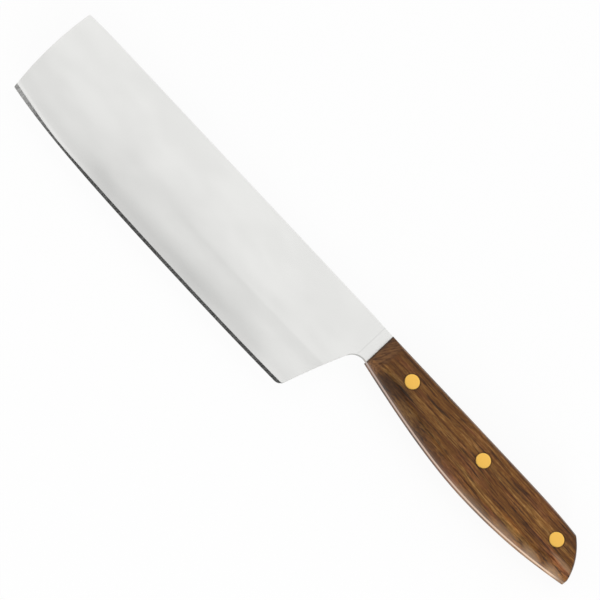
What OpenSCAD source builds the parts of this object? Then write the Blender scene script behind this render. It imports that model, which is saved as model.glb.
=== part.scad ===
// Chinese cleaver for vegetables: a tall blade with a full tang and two riveted wooden scales.
// The knife lies on its right side. +X points to the butt, +Y to the spine and +Z out of the left side.
// Inside the modules the handle's front end is x = 0, the spine is y = 0 and the steel's middle is z = 0.

/* [Blade] */
// Length from the handle's front end to the top front corner
blade_len = 178.2; // [150:0.1:200]
// Thickness of the steel, the same in the blade and the tang
steel_t = 2; // [1.5:0.1:3]
// Greatest depth from the spine to the cutting edge
blade_depth = 50.3; // [44:0.1:60]
// Distance from the handle's front end to the deepest point of the edge
edge_low_x = 56; // [45:1:80]
// How far the cutting edge rises from its deepest point to the front corner
edge_sweep = 5.4; // [2:0.1:9]
// How far it rises from its deepest point to the heel corner
heel_rise = 0.5; // [0:0.05:1.5]
// How far the front end bows out in the middle
front_bow = 1.5; // [0.5:0.1:4]
// How far the lower front corner lies behind the upper one
front_lean = 0.7; // [0:0.1:2]
// How far the spine drops over its last part to the front
front_drop = 0.5; // [0:0.1:1.5]
// Distance from the handle's front end to the heel corner
heel_x = 17.1; // [14:0.1:22]
// Lean of the heel line from upright, at its lower end
heel_lean = 15; // [10:1:20]
// Radius of the finger notch between the heel and the handle
notch_r = 6.2; // [4:0.1:7]
// Distance from the handle's front end to the middle of the notch
notch_x = 1.5; // [1:0.1:2.5]
// Rounding of the two front corners
front_corner_r = 0.8; // [0.3:0.1:1.4]
// Rounding of the heel corner
heel_corner_r = 3.6; // [0.3:0.1:4.5]

/* [Grinding] */
// Half thickness of the ground face along the spine
face_half_t = 0.98; // [0.95:0.01:0.99]
// Height of the main grind above the cutting edge
grind_h = 19.6; // [12:0.1:28]
// Half thickness of the steel where the main grind starts
grind_half_t = 0.84; // [0.7:0.01:0.9]
// Height of the sharpened bevel along most of the edge
bevel_h = 1.35; // [0.8:0.05:2.5]
// Extra height of the bevel at the front corner
bevel_h_front = 0.5; // [0:0.05:1]
// Half thickness of the steel at the top of the bevel
bevel_half_t = 0.34; // [0.2:0.01:0.5]
// Depth below the spine where the face starts to thin
face_taper_y = 6; // [4:0.5:10]
// Distance from the handle's front end to where the face grinding runs out
ricasso_len = 4.4; // [3:0.1:6]

/* [Handle] */
// Length of the handle along the spine line, to its rearmost point
handle_len = 119.4; // [116:0.1:130]
// Thickness over both scales
handle_t = 14; // [12:0.5:18]
// Depth of the handle at its front end
front_depth = 16; // [13:0.1:18]
// Depth of the handle at its deepest point
handle_depth = 24.8; // [20:0.1:28]
// Distance from the front end to the deepest point of the handle
handle_belly_x = 68; // [60:1:76]
// Depth of the pointed rear end of the lower edge
tip_depth = 19.1; // [15:0.1:21]
// Rounding of that rear end
tip_corner_r = 0.9; // [0.4:0.1:2]
// Drop of the handle's upper edge below the spine
top_drop = 0.4; // [0:0.05:1]
// Depth of the upper rear corner, where the butt curve starts
shoulder_depth = 1.5; // [1:0.1:4]
// Radius of the curved butt
butt_r = 28; // [27:0.5:36]

/* [Edges of the scales] */
// Length of the sloped front end of each scale
nose_len = 6.5; // [3:0.1:10]
// Height lost on that slope
nose_drop = 2.2; // [0.5:0.1:3.5]
// Width of the rounding along the upper edge
top_round = 3; // [1:0.1:5]
// Share of that rounding which is a plain slant
top_slant = 0.55; // [0:0.05:0.7]
// Width of the rounding along the lower edge at the front
belly_round = 3.2; // [1:0.1:5]
// Width of that rounding at the rear tip
tip_round = 4.5; // [2:0.1:6]
// Share of the lower rounding which is a plain slant
lower_slant = 0.3; // [0:0.05:0.5]
// Width of the rounding round the butt
butt_round = 1.6; // [0.8:0.1:2.5]

/* [Rivets] */
// Diameter of the rivet heads
head_d = 6.5; // [5:0.1:8]
// Thickness of the rivet heads
head_t = 1.6; // [1:0.1:2.5]
// Diameter of the hollow shank
socket_d = 4.8; // [4:0.1:5]
// Diameter of the solid shank
post_d = 3.2; // [2.4:0.1:3.4]
// Clearance on diameter between the hollow shank and the tang
tang_clearance = 0.2; // [0.05:0.05:0.6]
// Distance from the front end to the front rivet
front_rivet_x = 18.5; // [14:0.1:24]
// Distance from the front end to the middle rivet
middle_rivet_x = 61.2; // [54:0.1:68]
// Distance from the front end to the rear rivet
rear_rivet_x = 104.5; // [98:0.1:106]
// Depth of the front rivet below the spine
front_rivet_y = 9.7; // [8:0.1:11]
// Depth of the middle rivet below the spine
middle_rivet_y = 10.6; // [9:0.1:12]
// Depth of the rear rivet below the spine
rear_rivet_y = 10.8; // [9:0.1:12]

/* [Hidden] */
$fn = 64;

// Half thicknesses of the steel and of the handle
steel_z = steel_t / 2;
handle_z = handle_t / 2;
// Half of the narrow land left along the cutting edge
edge_z = 0.03;
// Powers that shape the edge's curve: a gentle belly and a quicker rise near the front
belly_share = 0.38;
belly_power = 2;
rise_power = 5;
// Lengths over which the spine eases down to the handle and drops to the front
spine_ease = 12;
front_ease = 16;
// How sharply the handle's lower edge bends from a straight front into its belly
belly_bend = 1.5;
// Heights over the steel at which the roundings of the upper and the lower edge start
top_start = 0.1;
lower_start = 1.7;
// Share of the handle's length after which its upper edge drops to the shoulder
drop_start = 0.6;
// Share of the handle's length after which the lower rounding widens towards the tip
flare_start = 0.82;
// Part of the blade's length over which the bevel widens towards the front
bevel_flare = 0.35;
// Length of the slope at the end of the face grinding, and its start above the steel's surface
run_out = 0.8;
run_out_lift = 0.02;
// Length of the curve's handle at the heel corner, and the lean that the heel line gains up to the notch
heel_curve_len = 14;
notch_lean_gain = 4.5;
// Clear lengths of the cutting edge at its two ends, which the rounded corners take
front_margin = 1.5;
heel_margin = 2;
// Powers that shape the drop to the shoulder and the slope of the front end
drop_power = 4;
nose_power = 1.25;
// Share of the lower rounding that is left where it starts to widen
flare_share = 0.7;
// Clear space left under a rivet's parts, so that the heads seat first
rivet_gap = 0.4;
// How far cutting shapes reach past what they cut
reach = 3;

// Numbers of stations along curves
edge_steps = 44;
corner_steps = 6;
arc_steps = 14;
top_steps = 20;
butt_steps = 20;
belly_steps = 35;
round_steps = 7;
spine_steps = 5;
// Power that crowds the stations of the butt towards its rounded lower corner
crowding = 1.5;
// First station of the heel's curve that its rounded corner leaves in place
heel_start = 2;

// The butt is an arc that leans forward at the top and reaches furthest where the rear tip's rounding starts
butt_y = -25;
butt_x = handle_len - sqrt(pow(butt_r, 2) - pow(tip_depth - tip_corner_r + butt_y, 2));

rivet_places = [[front_rivet_x, -front_rivet_y],
                [middle_rivet_x, -middle_rivet_y],
                [rear_rivet_x, -rear_rivet_y]];

// General helpers for outlines
function mix(a, b, t) = a + (b - a) * t;
function clamp01(t) = min(1, max(0, t));
function smooth(t) = let (c = clamp01(t)) c * c * (3 - 2 * c);
function arc(centre, r, from, to, steps) =
    [for (i = [0:steps]) let (a = mix(from, to, i / steps)) centre + r * [cos(a), sin(a)]];
function bend(a, b, c, steps) =
    [for (i = [0:steps]) let (t = i / steps) a * pow(1 - t, 2) + b * 2 * t * (1 - t) + c * pow(t, 2)];
// A corner p between the directions of its neighbours a and b, rounded with radius r
function round_corner(a, p, b, r, steps) =
    let (u = (a - p) / norm(a - p),
         v = (b - p) / norm(b - p),
         half = acos(u * v) / 2,
         m = (u + v) / norm(u + v),
         centre = p + m * r / sin(half),
         from = p + u * r / tan(half) - centre,
         a0 = atan2(from[1], from[0]),
         turn = sign(u[0] * v[1] - u[1] * v[0]) * (180 - 2 * half))
    arc(centre, r, a0, a0 - turn, steps);

// Depth of the cutting edge at x, as a negative y
function edge_y(x) =
    let (t = -(x + edge_low_x) / (blade_len - edge_low_x),
         rise = belly_share * pow(t, belly_power) + (1 - belly_share) * pow(t, rise_power))
    -blade_depth + (t > 0 ? edge_sweep * rise
                          : heel_rise * pow((x + edge_low_x) / (edge_low_x - heel_x), 2));

// Outline of the blade from the spine round the front, along the edge and up the heel to the handle
function spine_y(x) = -front_drop * pow(clamp01((front_ease - blade_len - x) / front_ease), 2);
front_top = [-blade_len, -front_drop];
front_low = [front_lean - blade_len, edge_y(front_lean - blade_len)];
// The curve bows out half as far as its control point
front_control = (front_top + front_low) / 2 - [2 * front_bow, 0];
heel_corner = [-heel_x, edge_y(-heel_x)];
notch_end = acos(notch_x / notch_r);
notch_centre = [-notch_x, -front_depth - notch_r * sin(notch_end)];
notch_lean = heel_lean + notch_lean_gain;
notch_left = notch_centre + notch_r * [-cos(notch_lean), sin(notch_lean)];
heel_control = heel_corner + [sin(heel_lean), cos(heel_lean)] * heel_curve_len;
spine_curve = [for (i = [0:spine_steps])
    let (x = mix(front_ease, front_margin, i / spine_steps) - blade_len) [x, spine_y(x)]];
front_curve = bend(front_top, front_control, front_low, arc_steps);
edge_curve = [for (i = [1:edge_steps - 1])
    let (x = mix(front_low[0] + front_margin, -heel_x - heel_margin, i / edge_steps)) [x, edge_y(x)]];
heel_curve = bend(heel_corner, heel_control, notch_left, arc_steps);
notch_curve = arc(notch_centre, notch_r, 180 - notch_lean, notch_end, arc_steps);
front_inner = [for (i = [1:arc_steps - 1]) front_curve[i]];
heel_inner = [for (i = [heel_start:arc_steps - 1]) heel_curve[i]];
notch_inner = [for (i = [0:arc_steps - 1]) notch_curve[i]];
blade_outline = concat(
    [[-spine_ease, 0]],
    spine_curve,
    round_corner(spine_curve[spine_steps], front_top, front_curve[1], front_corner_r, corner_steps),
    front_inner,
    round_corner(front_curve[arc_steps - 1], front_low, edge_curve[0], front_corner_r, corner_steps),
    edge_curve,
    round_corner(edge_curve[edge_steps - 2], heel_corner, heel_curve[heel_start],
                 heel_corner_r, corner_steps),
    heel_inner,
    notch_inner);

// Handle outline at a given inset: the upper edge, the butt's arc and the lower edge
function top_y(t) = -top_drop
    - (shoulder_depth - top_drop) * pow(clamp01((t - drop_start) / (1 - drop_start)), drop_power);
function belly_y(t) =
    let (x = t * handle_len,
         ahead = (handle_belly_x - x) / handle_belly_x,
         behind = (x - handle_belly_x) / (handle_len - handle_belly_x),
         front = (sqrt(1 + pow(belly_bend * ahead, 2)) - 1) / (sqrt(1 + pow(belly_bend, 2)) - 1))
    -handle_depth + (ahead > 0 ? (handle_depth - front_depth) * front
                               : (handle_depth - tip_depth) * pow(behind, 2));

// Width of the rounding along the lower edge
function lower_round(t) = mix(belly_round, belly_round * flare_share, smooth(t / flare_start))
    + (tip_round - belly_round * flare_share) * smooth((t - flare_start) / (1 - flare_start));

// Set-back of the front end at height z
function nose(z) = nose_len * pow(clamp01((z - handle_z + nose_drop) / nose_drop), nose_power);

// How far a rounding of width 1 has come in at the angle a: a quarter circle mixed with a slant
function inset(a, slant) = mix(1 - cos(a), sin(a), slant);

// A ring of the scale at the stage a of its edge rounding, which runs from 0 to 90 degrees
function scale_ring(a) =
    let (in_top = top_round * inset(a, top_slant),
         in_low = inset(a, lower_slant),
         z_top = mix(steel_z + top_start, handle_z, sin(a)),
         z_low = mix(steel_z + lower_start, handle_z, sin(a)),
         r = butt_r - butt_round * (1 - cos(a)),
         tip_y = -tip_depth + lower_round(1) * in_low,
         high = asin((-shoulder_depth - in_top - butt_y) / r),
         low = asin((tip_y - butt_y) / r),
         x_top = butt_x + r * cos(high),
         x_low = butt_x + r * cos(low) - tip_corner_r)
    concat(
        [for (i = [0:top_steps]) let (t = i / top_steps)
            [mix(nose(z_top), x_top, t), top_y(t) - in_top, z_top]],
        [for (i = [1:butt_steps])
            let (t = 1 - pow(1 - i / butt_steps, crowding),
                 g = mix(high, low, t),
                 y = butt_y + r * sin(g),
                 down = min(tip_corner_r, max(0, tip_y + tip_corner_r - y)),
                 cut = tip_corner_r - sqrt(pow(tip_corner_r, 2) - pow(down, 2)))
            [butt_x + r * cos(g) - cut, y, mix(z_top, z_low, smooth(t))]],
        [for (i = [1:belly_steps]) let (t = 1 - i / belly_steps)
            [mix(nose(z_low), x_low, t), belly_y(t) + lower_round(t) * in_low, z_low]]);

function at_height(ring, z) = [for (p = ring) [p[0], p[1], z]];
function flat(ring) = [for (p = ring) [p[0], p[1]]];
handle_outline = flat(scale_ring(0));

// A closed solid through rings of the same even number of points, clockwise as seen from the last ring
module loft(rings) {
    count = len(rings[0]);
    last = len(rings) - 1;
    points = [for (ring = rings) for (p = ring) p];
    sides = [for (k = [0:last - 1]) for (i = [0:count - 1])
        let (j = (i + 1) % count, a = k * count, b = (k + 1) * count)
        each [[a + i, a + j, b + j], [a + i, b + j, b + i]]];
    // Each end is closed by a strip that zigzags between the two halves of its ring
    strip = [for (i = [0:count / 2 - 2]) let (k = count - 1 - i)
        each [[i, i + 1, k - 1], [i, k - 1, k]]];
    first_cap = [for (f = strip) [f[2], f[1], f[0]]];
    last_cap = [for (f = strip) f + last * count * [1, 1, 1]];
    polyhedron(points, concat(sides, first_cap, last_cap));
}

// What grinding takes off the left side at station x: flat face, taper, main grind and sharpened bevel.
// The profile is scaled by depth, which falls to nothing where the face grinding runs out.
function bevel_at(x) = bevel_h
    + bevel_h_front * (1 - smooth((x + blade_len) / (blade_len * bevel_flare)));
function cut_profile(x, depth) =
    let (edge = edge_y(x),
         outside = steel_z + reach,
         bevel_slope = (bevel_half_t - edge_z) / bevel_at(x),
         inner = [[reach, face_half_t],
                  [-face_taper_y, face_half_t],
                  [edge + grind_h, grind_half_t],
                  [edge + bevel_at(x), bevel_half_t],
                  [edge - reach, edge_z - reach * bevel_slope]])
    concat([[x, edge - reach, outside],
            [x, edge + grind_h, outside],
            [x, reach, outside]],
           [for (p = inner) [x, p[0], mix(steel_z + run_out_lift, p[1], depth)]]);

module grinding() {
    stations = [for (i = [0:edge_steps]) mix(-blade_len - reach, -ricasso_len - run_out, i / edge_steps)];
    loft(concat([for (x = stations) cut_profile(x, 1)], [cut_profile(-ricasso_len, 0)]));
}

module rivet_holes(d) {
    for (p = rivet_places)
        translate([p[0], p[1], -handle_z - reach])
            cylinder(d = d, h = handle_t + 2 * reach);
}

// Puts the knife's own axes into the part's frame: middle of its length and depth, resting at z = 0
module place() {
    front_x = min([for (p = front_curve) p[0]]);
    translate([-(front_x + handle_len) / 2, blade_depth / 2, handle_z])
        children();
}

module blade() {
    color("gainsboro")
        place()
            difference() {
                linear_extrude(steel_t, center = true)
                    polygon(concat(blade_outline,
                                   [for (i = [len(handle_outline) - 1:-1:0]) handle_outline[i]]));
                grinding();
                mirror([0, 0, 1])
                    grinding();
                rivet_holes(socket_d + tang_clearance);
            }
}

// One wooden scale on the left side, with counterbored holes for the rivets
module wooden_scale() {
    rings = concat([at_height(scale_ring(0), steel_z)],
                   [for (i = [0:round_steps]) scale_ring(90 * i / round_steps)]);
    difference() {
        loft(rings);
        rivet_holes(socket_d);
        for (p = rivet_places)
            translate([p[0], p[1], handle_z - head_t])
                cylinder(d = head_d, h = head_t + reach);
    }
}

module left_scale() {
    color("saddlebrown")
        place()
            wooden_scale();
}

module right_scale() {
    color("sienna")
        place()
            mirror([0, 0, 1])
                wooden_scale();
}

// The half with the solid shank, put in from the left side
module rivet_post(i) {
    color("goldenrod")
        place()
            translate(rivet_places[i]) {
                translate([0, 0, handle_z - head_t])
                    cylinder(d = head_d, h = head_t);
                translate([0, 0, -handle_z + head_t + rivet_gap])
                    cylinder(d = post_d, h = handle_t - 2 * head_t);
            }
}

// The half with the hollow shank, put in from the right side
module rivet_socket(i) {
    color("darkgoldenrod")
        place()
            translate(rivet_places[i])
                difference() {
                    union() {
                        translate([0, 0, -handle_z])
                            cylinder(d = head_d, h = head_t);
                        translate([0, 0, -handle_z])
                            cylinder(d = socket_d, h = handle_t - head_t - rivet_gap);
                    }
                    translate([0, 0, -handle_z + head_t])
                        cylinder(d = post_d, h = handle_t);
                }
}

module front_rivet_post() { rivet_post(0); }
module front_rivet_socket() { rivet_socket(0); }
module middle_rivet_post() { rivet_post(1); }
module middle_rivet_socket() { rivet_socket(1); }
module rear_rivet_post() { rivet_post(2); }
module rear_rivet_socket() { rivet_socket(2); }

blade();
left_scale();
right_scale();
front_rivet_post();
front_rivet_socket();
middle_rivet_post();
middle_rivet_socket();
rear_rivet_post();
rear_rivet_socket();
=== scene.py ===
"""A tall-bladed kitchen cleaver, dressed around its CAD frame: ground steel and riveted wooden scales.

Inside the classes lengths are millimetres in the knife's own axes: x = 0 at the handle's front end, y = 0
along the spine, z = 0 in the middle of the steel. place() turns them into metres in the CAD model's frame.
"""

from __future__ import annotations

import logging
import math
from dataclasses import dataclass, field
from enum import Enum
from functools import cached_property
from typing import Any

import bmesh
import bpy
import numpy as np
from mathutils import Matrix, Vector
from mathutils.geometry import delaunay_2d_cdt


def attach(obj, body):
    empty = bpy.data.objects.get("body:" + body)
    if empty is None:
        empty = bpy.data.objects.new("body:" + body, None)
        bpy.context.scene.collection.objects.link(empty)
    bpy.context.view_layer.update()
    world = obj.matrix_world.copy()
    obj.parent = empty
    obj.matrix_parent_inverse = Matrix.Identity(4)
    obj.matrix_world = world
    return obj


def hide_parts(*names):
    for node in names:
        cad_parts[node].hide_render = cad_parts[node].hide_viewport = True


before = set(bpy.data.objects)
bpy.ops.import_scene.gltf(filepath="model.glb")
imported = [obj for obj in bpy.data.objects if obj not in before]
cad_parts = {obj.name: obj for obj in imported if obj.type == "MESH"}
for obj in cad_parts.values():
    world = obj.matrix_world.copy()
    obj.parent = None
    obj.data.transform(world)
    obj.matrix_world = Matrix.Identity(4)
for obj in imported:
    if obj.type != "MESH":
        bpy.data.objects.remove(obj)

LOG = logging.getLogger("cleaver")
Array = np.ndarray
Material = bpy.types.Material
Object = bpy.types.Object
Socket = bpy.types.NodeSocket
Pair = tuple[float, float]
Triple = tuple[float, float, float]
MM = 0.001
KNIFE_ORIGIN = np.array([29.985, 25.15, 7.0])
RIVETS = {"front": (18.5, -9.7), "middle": (61.2, -10.6), "rear": (104.5, -10.8)}


# Numbers and shapes

def mix(a: Any, b: Any, t: Any) -> Any:
    """Goes from a to b as t goes from 0 to 1."""
    return a + (b - a) * t


def smooth(t: Any) -> Any:
    """Eases t from 0 to 1 with flat ends."""
    c = np.clip(t, 0.0, 1.0)
    return c * c * (3.0 - 2.0 * c)


def rise(value: Any, start: float, end: float) -> Any:
    """Eases from 0 where a value is start to 1 where it is end."""
    return smooth((value - start) / (end - start))


def ramp(t: Any, width: Any) -> Any:
    """Is 0 below -width and t above width, joined by a parabola."""
    inside = np.clip(t + width, 0.0, 2.0 * width) ** 2 / (4.0 * width)
    return inside + np.maximum(t - width, 0.0)


def crowd(share: Array, power: float) -> Array:
    """Crowds shares towards 0 by a positive power, or towards 1 by a negative one."""
    return share ** power if power > 0.0 else 1.0 - (1.0 - share) ** -power


def place(points: Array) -> Array:
    """Turns knife axes in millimetres into the model's frame in metres."""
    return (points + KNIFE_ORIGIN) * MM


def at_x(x: float) -> float:
    """Turns x on the knife in millimetres into x in Object coordinates."""
    return float(place(np.array([x, 0.0, 0.0]))[0])


def segment_distance(points: Array, line: Array) -> Array:
    """Measures how far points lie from an open line of straight segments.

    Args:
        points: (n, 2) places.
        line: (m, 2) corners of the line.

    Returns:
        The n shortest distances.
    """
    start, run = line[:-1], np.diff(line, axis=0)
    away = points[:, None, :] - start[None, :, :]
    share = np.clip((away * run).sum(-1) / np.maximum((run * run).sum(-1), 1e-12), 0.0, 1.0)
    return np.linalg.norm(away - share[..., None] * run, axis=-1).min(axis=1)


def inset(loop: Array, distance: float) -> Array:
    """Moves a closed plane loop inwards along the normals of its points.

    Args:
        loop: (n, 2) points in either sense.
        distance: How far each point moves.

    Returns:
        The moved points.
    """
    along = np.roll(loop, -1, axis=0) - np.roll(loop, 1, axis=0)
    along /= np.linalg.norm(along, axis=1, keepdims=True)
    x, y = loop[:, 0], loop[:, 1]
    turn = np.sign((x * np.roll(y, -1) - np.roll(x, -1) * y).sum())
    return loop + distance * turn * np.stack([-along[:, 1], along[:, 0]], axis=1)


def circle(centre: Pair, radius: float, steps: int = 64) -> Array:
    """Gives (steps, 2) points evenly round a circle."""
    angle = np.linspace(0.0, 2.0 * math.pi, steps, endpoint=False)
    return np.stack([centre[0] + radius * np.cos(angle), centre[1] + radius * np.sin(angle)], axis=1)


def at_height(loop: Array, z: Any) -> Array:
    """Adds the height z to plane points."""
    height = np.broadcast_to(np.asarray(z, float), loop.shape[:-1])
    return np.concatenate([loop, height[..., None]], axis=-1)


def show(name: str, data: Any) -> Object:
    """Makes an object and puts it into the scene.

    Args:
        name: The object's name.
        data: Its mesh, lamp or camera.

    Returns:
        The object.
    """
    made = bpy.data.objects.new(name, data)
    bpy.context.scene.collection.objects.link(made)
    return made


@dataclass
class Shell:
    """Gathers grids and flat plates of points and joins them into one closed mesh.

    Lengths named weld are in metres for the mesh and in millimetres for a plate. The fill mode is the
    triangulation's, which keeps only what lies inside the outline.
    """

    points: list[Array] = field(default_factory=list)
    faces: list[list[int]] = field(default_factory=list)
    finishes: list[int] = field(default_factory=list)
    count: int = 0
    crease: float = math.radians(32.0)
    weld: float = 2e-7
    fill_mode: int = 1
    fill_weld: float = 1e-7

    def grid(self, points: Array, finish: Any = 0) -> None:
        """Adds a sheet of quads over a grid of points.

        Args:
            points: (rows, columns, 3) places in knife millimetres.
            finish: The material's number, or one number for each quad of each row.
        """
        rows, columns, _ = points.shape
        at = np.arange(rows * columns).reshape(rows, columns) + self.count
        quads = np.stack([at[:-1, :-1], at[:-1, 1:], at[1:, 1:], at[1:, :-1]], axis=-1)
        self.points.append(points.reshape(-1, 3))
        self.faces.extend(quads.reshape(-1, 4).tolist())
        self.finishes.extend(np.broadcast_to(finish, quads.shape[:2]).ravel().tolist())
        self.count += rows * columns

    def revolve(self, profile: Array, centre: Pair, steps: int = 64) -> None:
        """Turns a profile round an upright axis.

        Args:
            profile: (n, 2) pairs of radius and height.
            centre: The axis in x and y.
            steps: Number of facets round the axis.
        """
        angle = np.linspace(0.0, 2.0 * math.pi, steps + 1)
        radius, height = profile[:, :1], profile[:, 1:]
        x = centre[0] + radius * np.cos(angle)
        y = centre[1] + radius * np.sin(angle)
        self.grid(np.stack([x, y, np.broadcast_to(height, x.shape)], axis=-1))

    def plate(self, outline: Array, holes: list[Array], z: float) -> None:
        """Fills a flat outline around its round holes with triangles.

        Args:
            outline: (n, 2) corners of the outside.
            holes: One (m, 2) ring of corners for each hole.
            z: Height of the plate.
        """
        loops = [outline, *holes]
        corners = [Vector(corner) for corner in np.concatenate(loops).tolist()]
        starts = np.cumsum([0] + [len(loop) for loop in loops])
        edges = [(a + i, a + (i + 1) % len(loop)) for a, loop in zip(starts, loops) for i in range(len(loop))]
        rim = [list(range(len(outline)))]
        verts, _, triangles, *_ = delaunay_2d_cdt(corners, edges, rim, self.fill_mode, self.fill_weld)
        flat = np.array([list(v) for v in verts])
        index = np.array(triangles)
        middle = flat[index].mean(axis=1)
        keep = np.ones(len(index), bool)
        for hole in holes:
            axis = hole.mean(axis=0)
            reach = np.linalg.norm(hole[0] - axis) * math.cos(math.pi / len(hole))
            keep &= np.linalg.norm(middle - axis, axis=1) > reach
        self.points.append(at_height(flat, z))
        self.faces.extend((index[keep] + self.count).tolist())
        self.finishes.extend([0] * int(keep.sum()))
        self.count += len(flat)

    def build(self, name: str, materials: list[Material]) -> Object:
        """Welds the seams, turns every face outwards and makes the object.

        Args:
            name: The piece's name.
            materials: Its finishes, in the order that the faces number them.

        Returns:
            The new object at the origin, with its place in its mesh.
        """
        mesh = bpy.data.meshes.new(name)
        mesh.from_pydata(place(np.concatenate(self.points)).tolist(), [], self.faces)
        mesh.polygons.foreach_set("material_index", np.array(self.finishes, np.int32))
        work = bmesh.new()
        work.from_mesh(mesh)
        bmesh.ops.remove_doubles(work, verts=work.verts, dist=self.weld)
        bmesh.ops.recalc_face_normals(work, faces=work.faces)
        open_edges = sum(not edge.is_manifold for edge in work.edges)
        work.to_mesh(mesh)
        work.free()
        mesh.polygons.foreach_set("use_smooth", np.ones(len(mesh.polygons), bool))
        mesh.set_sharp_from_angle(angle=self.crease)
        for material in materials:
            mesh.materials.append(material)
        LOG.info("%s: %d faces, %d open edges", name, len(mesh.polygons), open_edges)
        return show(name, mesh)


# Finishes

# A value's first and last number, and the level that it is turned into at each of them, with eased ends.
Span = tuple[float, float, float, float]
Stops = tuple[tuple[float, str], ...]
EASED = {"interpolation_type": "SMOOTHSTEP"}
COLOURS = {"data_type": "RGBA"}
MULTIPLY = {"data_type": "RGBA", "blend_type": "MULTIPLY"}


def linear(code: str) -> tuple[float, float, float, float]:
    """Turns an sRGB hex colour into linear values.

    Args:
        code: Six hex digits after a hash.

    Returns:
        Linear red, green and blue, and full opacity.
    """
    parts = [int(code[i:i + 2], 16) / 255.0 for i in (1, 3, 5)]
    red, green, blue = (p / 12.92 if p <= 0.04045 else ((p + 0.055) / 1.055) ** 2.4 for p in parts)
    return red, green, blue, 1.0


@dataclass(frozen=True)
class Grain:
    """A layer of noise: the size of a grain along x, y and z, and the levels that it is turned into."""

    size_mm: Triple
    span: Span = (0.0, 1.0, 0.0, 1.0)
    detail: float = 2.0
    roughness: float = 0.5
    turn_deg: float = 0.0


class Recipe:
    """The nodes of one material or world."""

    def __init__(self, owner: Any) -> None:
        """Starts with an empty node tree.

        Args:
            owner: The new material or world.
        """
        owner.use_nodes = True
        self.owner = owner
        self.tree = owner.node_tree
        self.tree.nodes.clear()

    @cached_property
    def where(self) -> Socket:
        """Object coordinates in metres."""
        return self.add("TexCoord", out="Object")

    @cached_property
    def x(self) -> Socket:
        """The x part of Object coordinates, which lies along the knife."""
        return self.add("SeparateXYZ", (self.where,))

    def add(self, kind: str, inputs: Any = (), out: int | str = 0, **settings: Any) -> Socket | None:
        """Adds a node, sets its properties and fills its inputs.

        Args:
            kind: The node's type, without its ShaderNode prefix.
            inputs: Values or other nodes' outputs, in order or by input name or number.
            out: Name or number of the output that is wanted.
            settings: Properties of the node.

        Returns:
            That output, or None from a node that has none.
        """
        made = self.tree.nodes.new("ShaderNode" + kind)
        for name, value in settings.items():
            setattr(made, name, value)
        for name, value in inputs.items() if isinstance(inputs, dict) else enumerate(inputs):
            if isinstance(value, Socket):
                self.tree.links.new(value, made.inputs[name])
            else:
                made.inputs[name].default_value = value
        return made.outputs[out] if len(made.outputs) else None

    def noise(self, grain: Grain, where: Socket | None = None) -> Socket:
        """Draws noise whose grains have a real size.

        Args:
            grain: The layer, whose levels aren't used here.
            where: Coordinates in metres, if not the object's own.

        Returns:
            The noise, from 0 to 1.
        """
        cells = tuple(1.0 / (size * MM) for size in grain.size_mm)
        turn = (0.0, 0.0, math.radians(grain.turn_deg))
        turned = self.add("Mapping", {"Vector": where or self.where, "Rotation": turn})
        scaled = self.add("Mapping", {"Vector": turned, "Scale": cells})
        return self.add("TexNoise", {"Vector": scaled, "Scale": 1.0, "Detail": grain.detail,
                                     "Roughness": grain.roughness})

    def levels(self, grain: Grain) -> Socket:
        """Draws noise and turns it into the grain's levels."""
        return self.add("MapRange", (self.noise(grain), *grain.span), **EASED)

    def shade(self, colour: Any, value: Socket, span: Span, powers: Triple = (1.0, 1.0, 1.0)) -> Socket:
        """Multiplies a colour by a level.

        Args:
            colour: The colour.
            value: What the level follows.
            span: How it follows it.
            powers: The level's powers for red, green and blue. Rising ones pale what it lightens and deepen
                what it darkens.

        Returns:
            The new colour.
        """
        level = self.add("MapRange", (value, *span), **EASED)
        parts = [self.add("Math", (level, power), operation="POWER") if power != 1.0 else level
                 for power in powers]
        return self.add("Mix", {0: 1.0, 6: colour, 7: self.add("CombineColor", parts)}, 2, **MULTIPLY)

    def over(self, colour: Any, other: Any, value: Socket, span: Span) -> Socket:
        """Lays another colour over a colour, by a share that follows a value."""
        share = self.add("MapRange", (value, *span), **EASED)
        return self.add("Mix", {0: share, 6: colour, 7: other}, 2, **COLOURS)

    def coloured(self, value: Socket, stops: Stops) -> Socket:
        """Turns a value into colours that run straight from stop to stop.

        Args:
            value: What the colours follow.
            stops: Pairs of a value and its sRGB hex colour, in rising order.

        Returns:
            The colour.
        """
        first, last = stops[0][0], stops[-1][0]
        colour = self.add("ValToRGB", (self.add("MapRange", (value, first, last)),))
        elements = colour.node.color_ramp.elements
        elements[0].color, elements[1].color = linear(stops[0][1]), linear(stops[-1][1])
        for at, code in stops[1:-1]:
            elements.new((at - first) / (last - first)).color = linear(code)
        return colour

    def surface(self, inputs: dict[str, Any], relief: Socket, depth: float, share: float = 1.0) -> Material:
        """Ends a material in a Principled surface.

        Args:
            inputs: The surface's inputs.
            relief: Height of its relief, from 0 to 1.
            depth: Depth of the relief in millimetres.
            share: How much of the relief shows.

        Returns:
            The material.
        """
        bump = self.add("Bump", {"Height": relief, "Distance": depth * MM, "Strength": share})
        shader = self.add("BsdfPrincipled", {**inputs, "Normal": bump})
        self.add("OutputMaterial", {"Surface": shader})
        return self.owner


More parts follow.
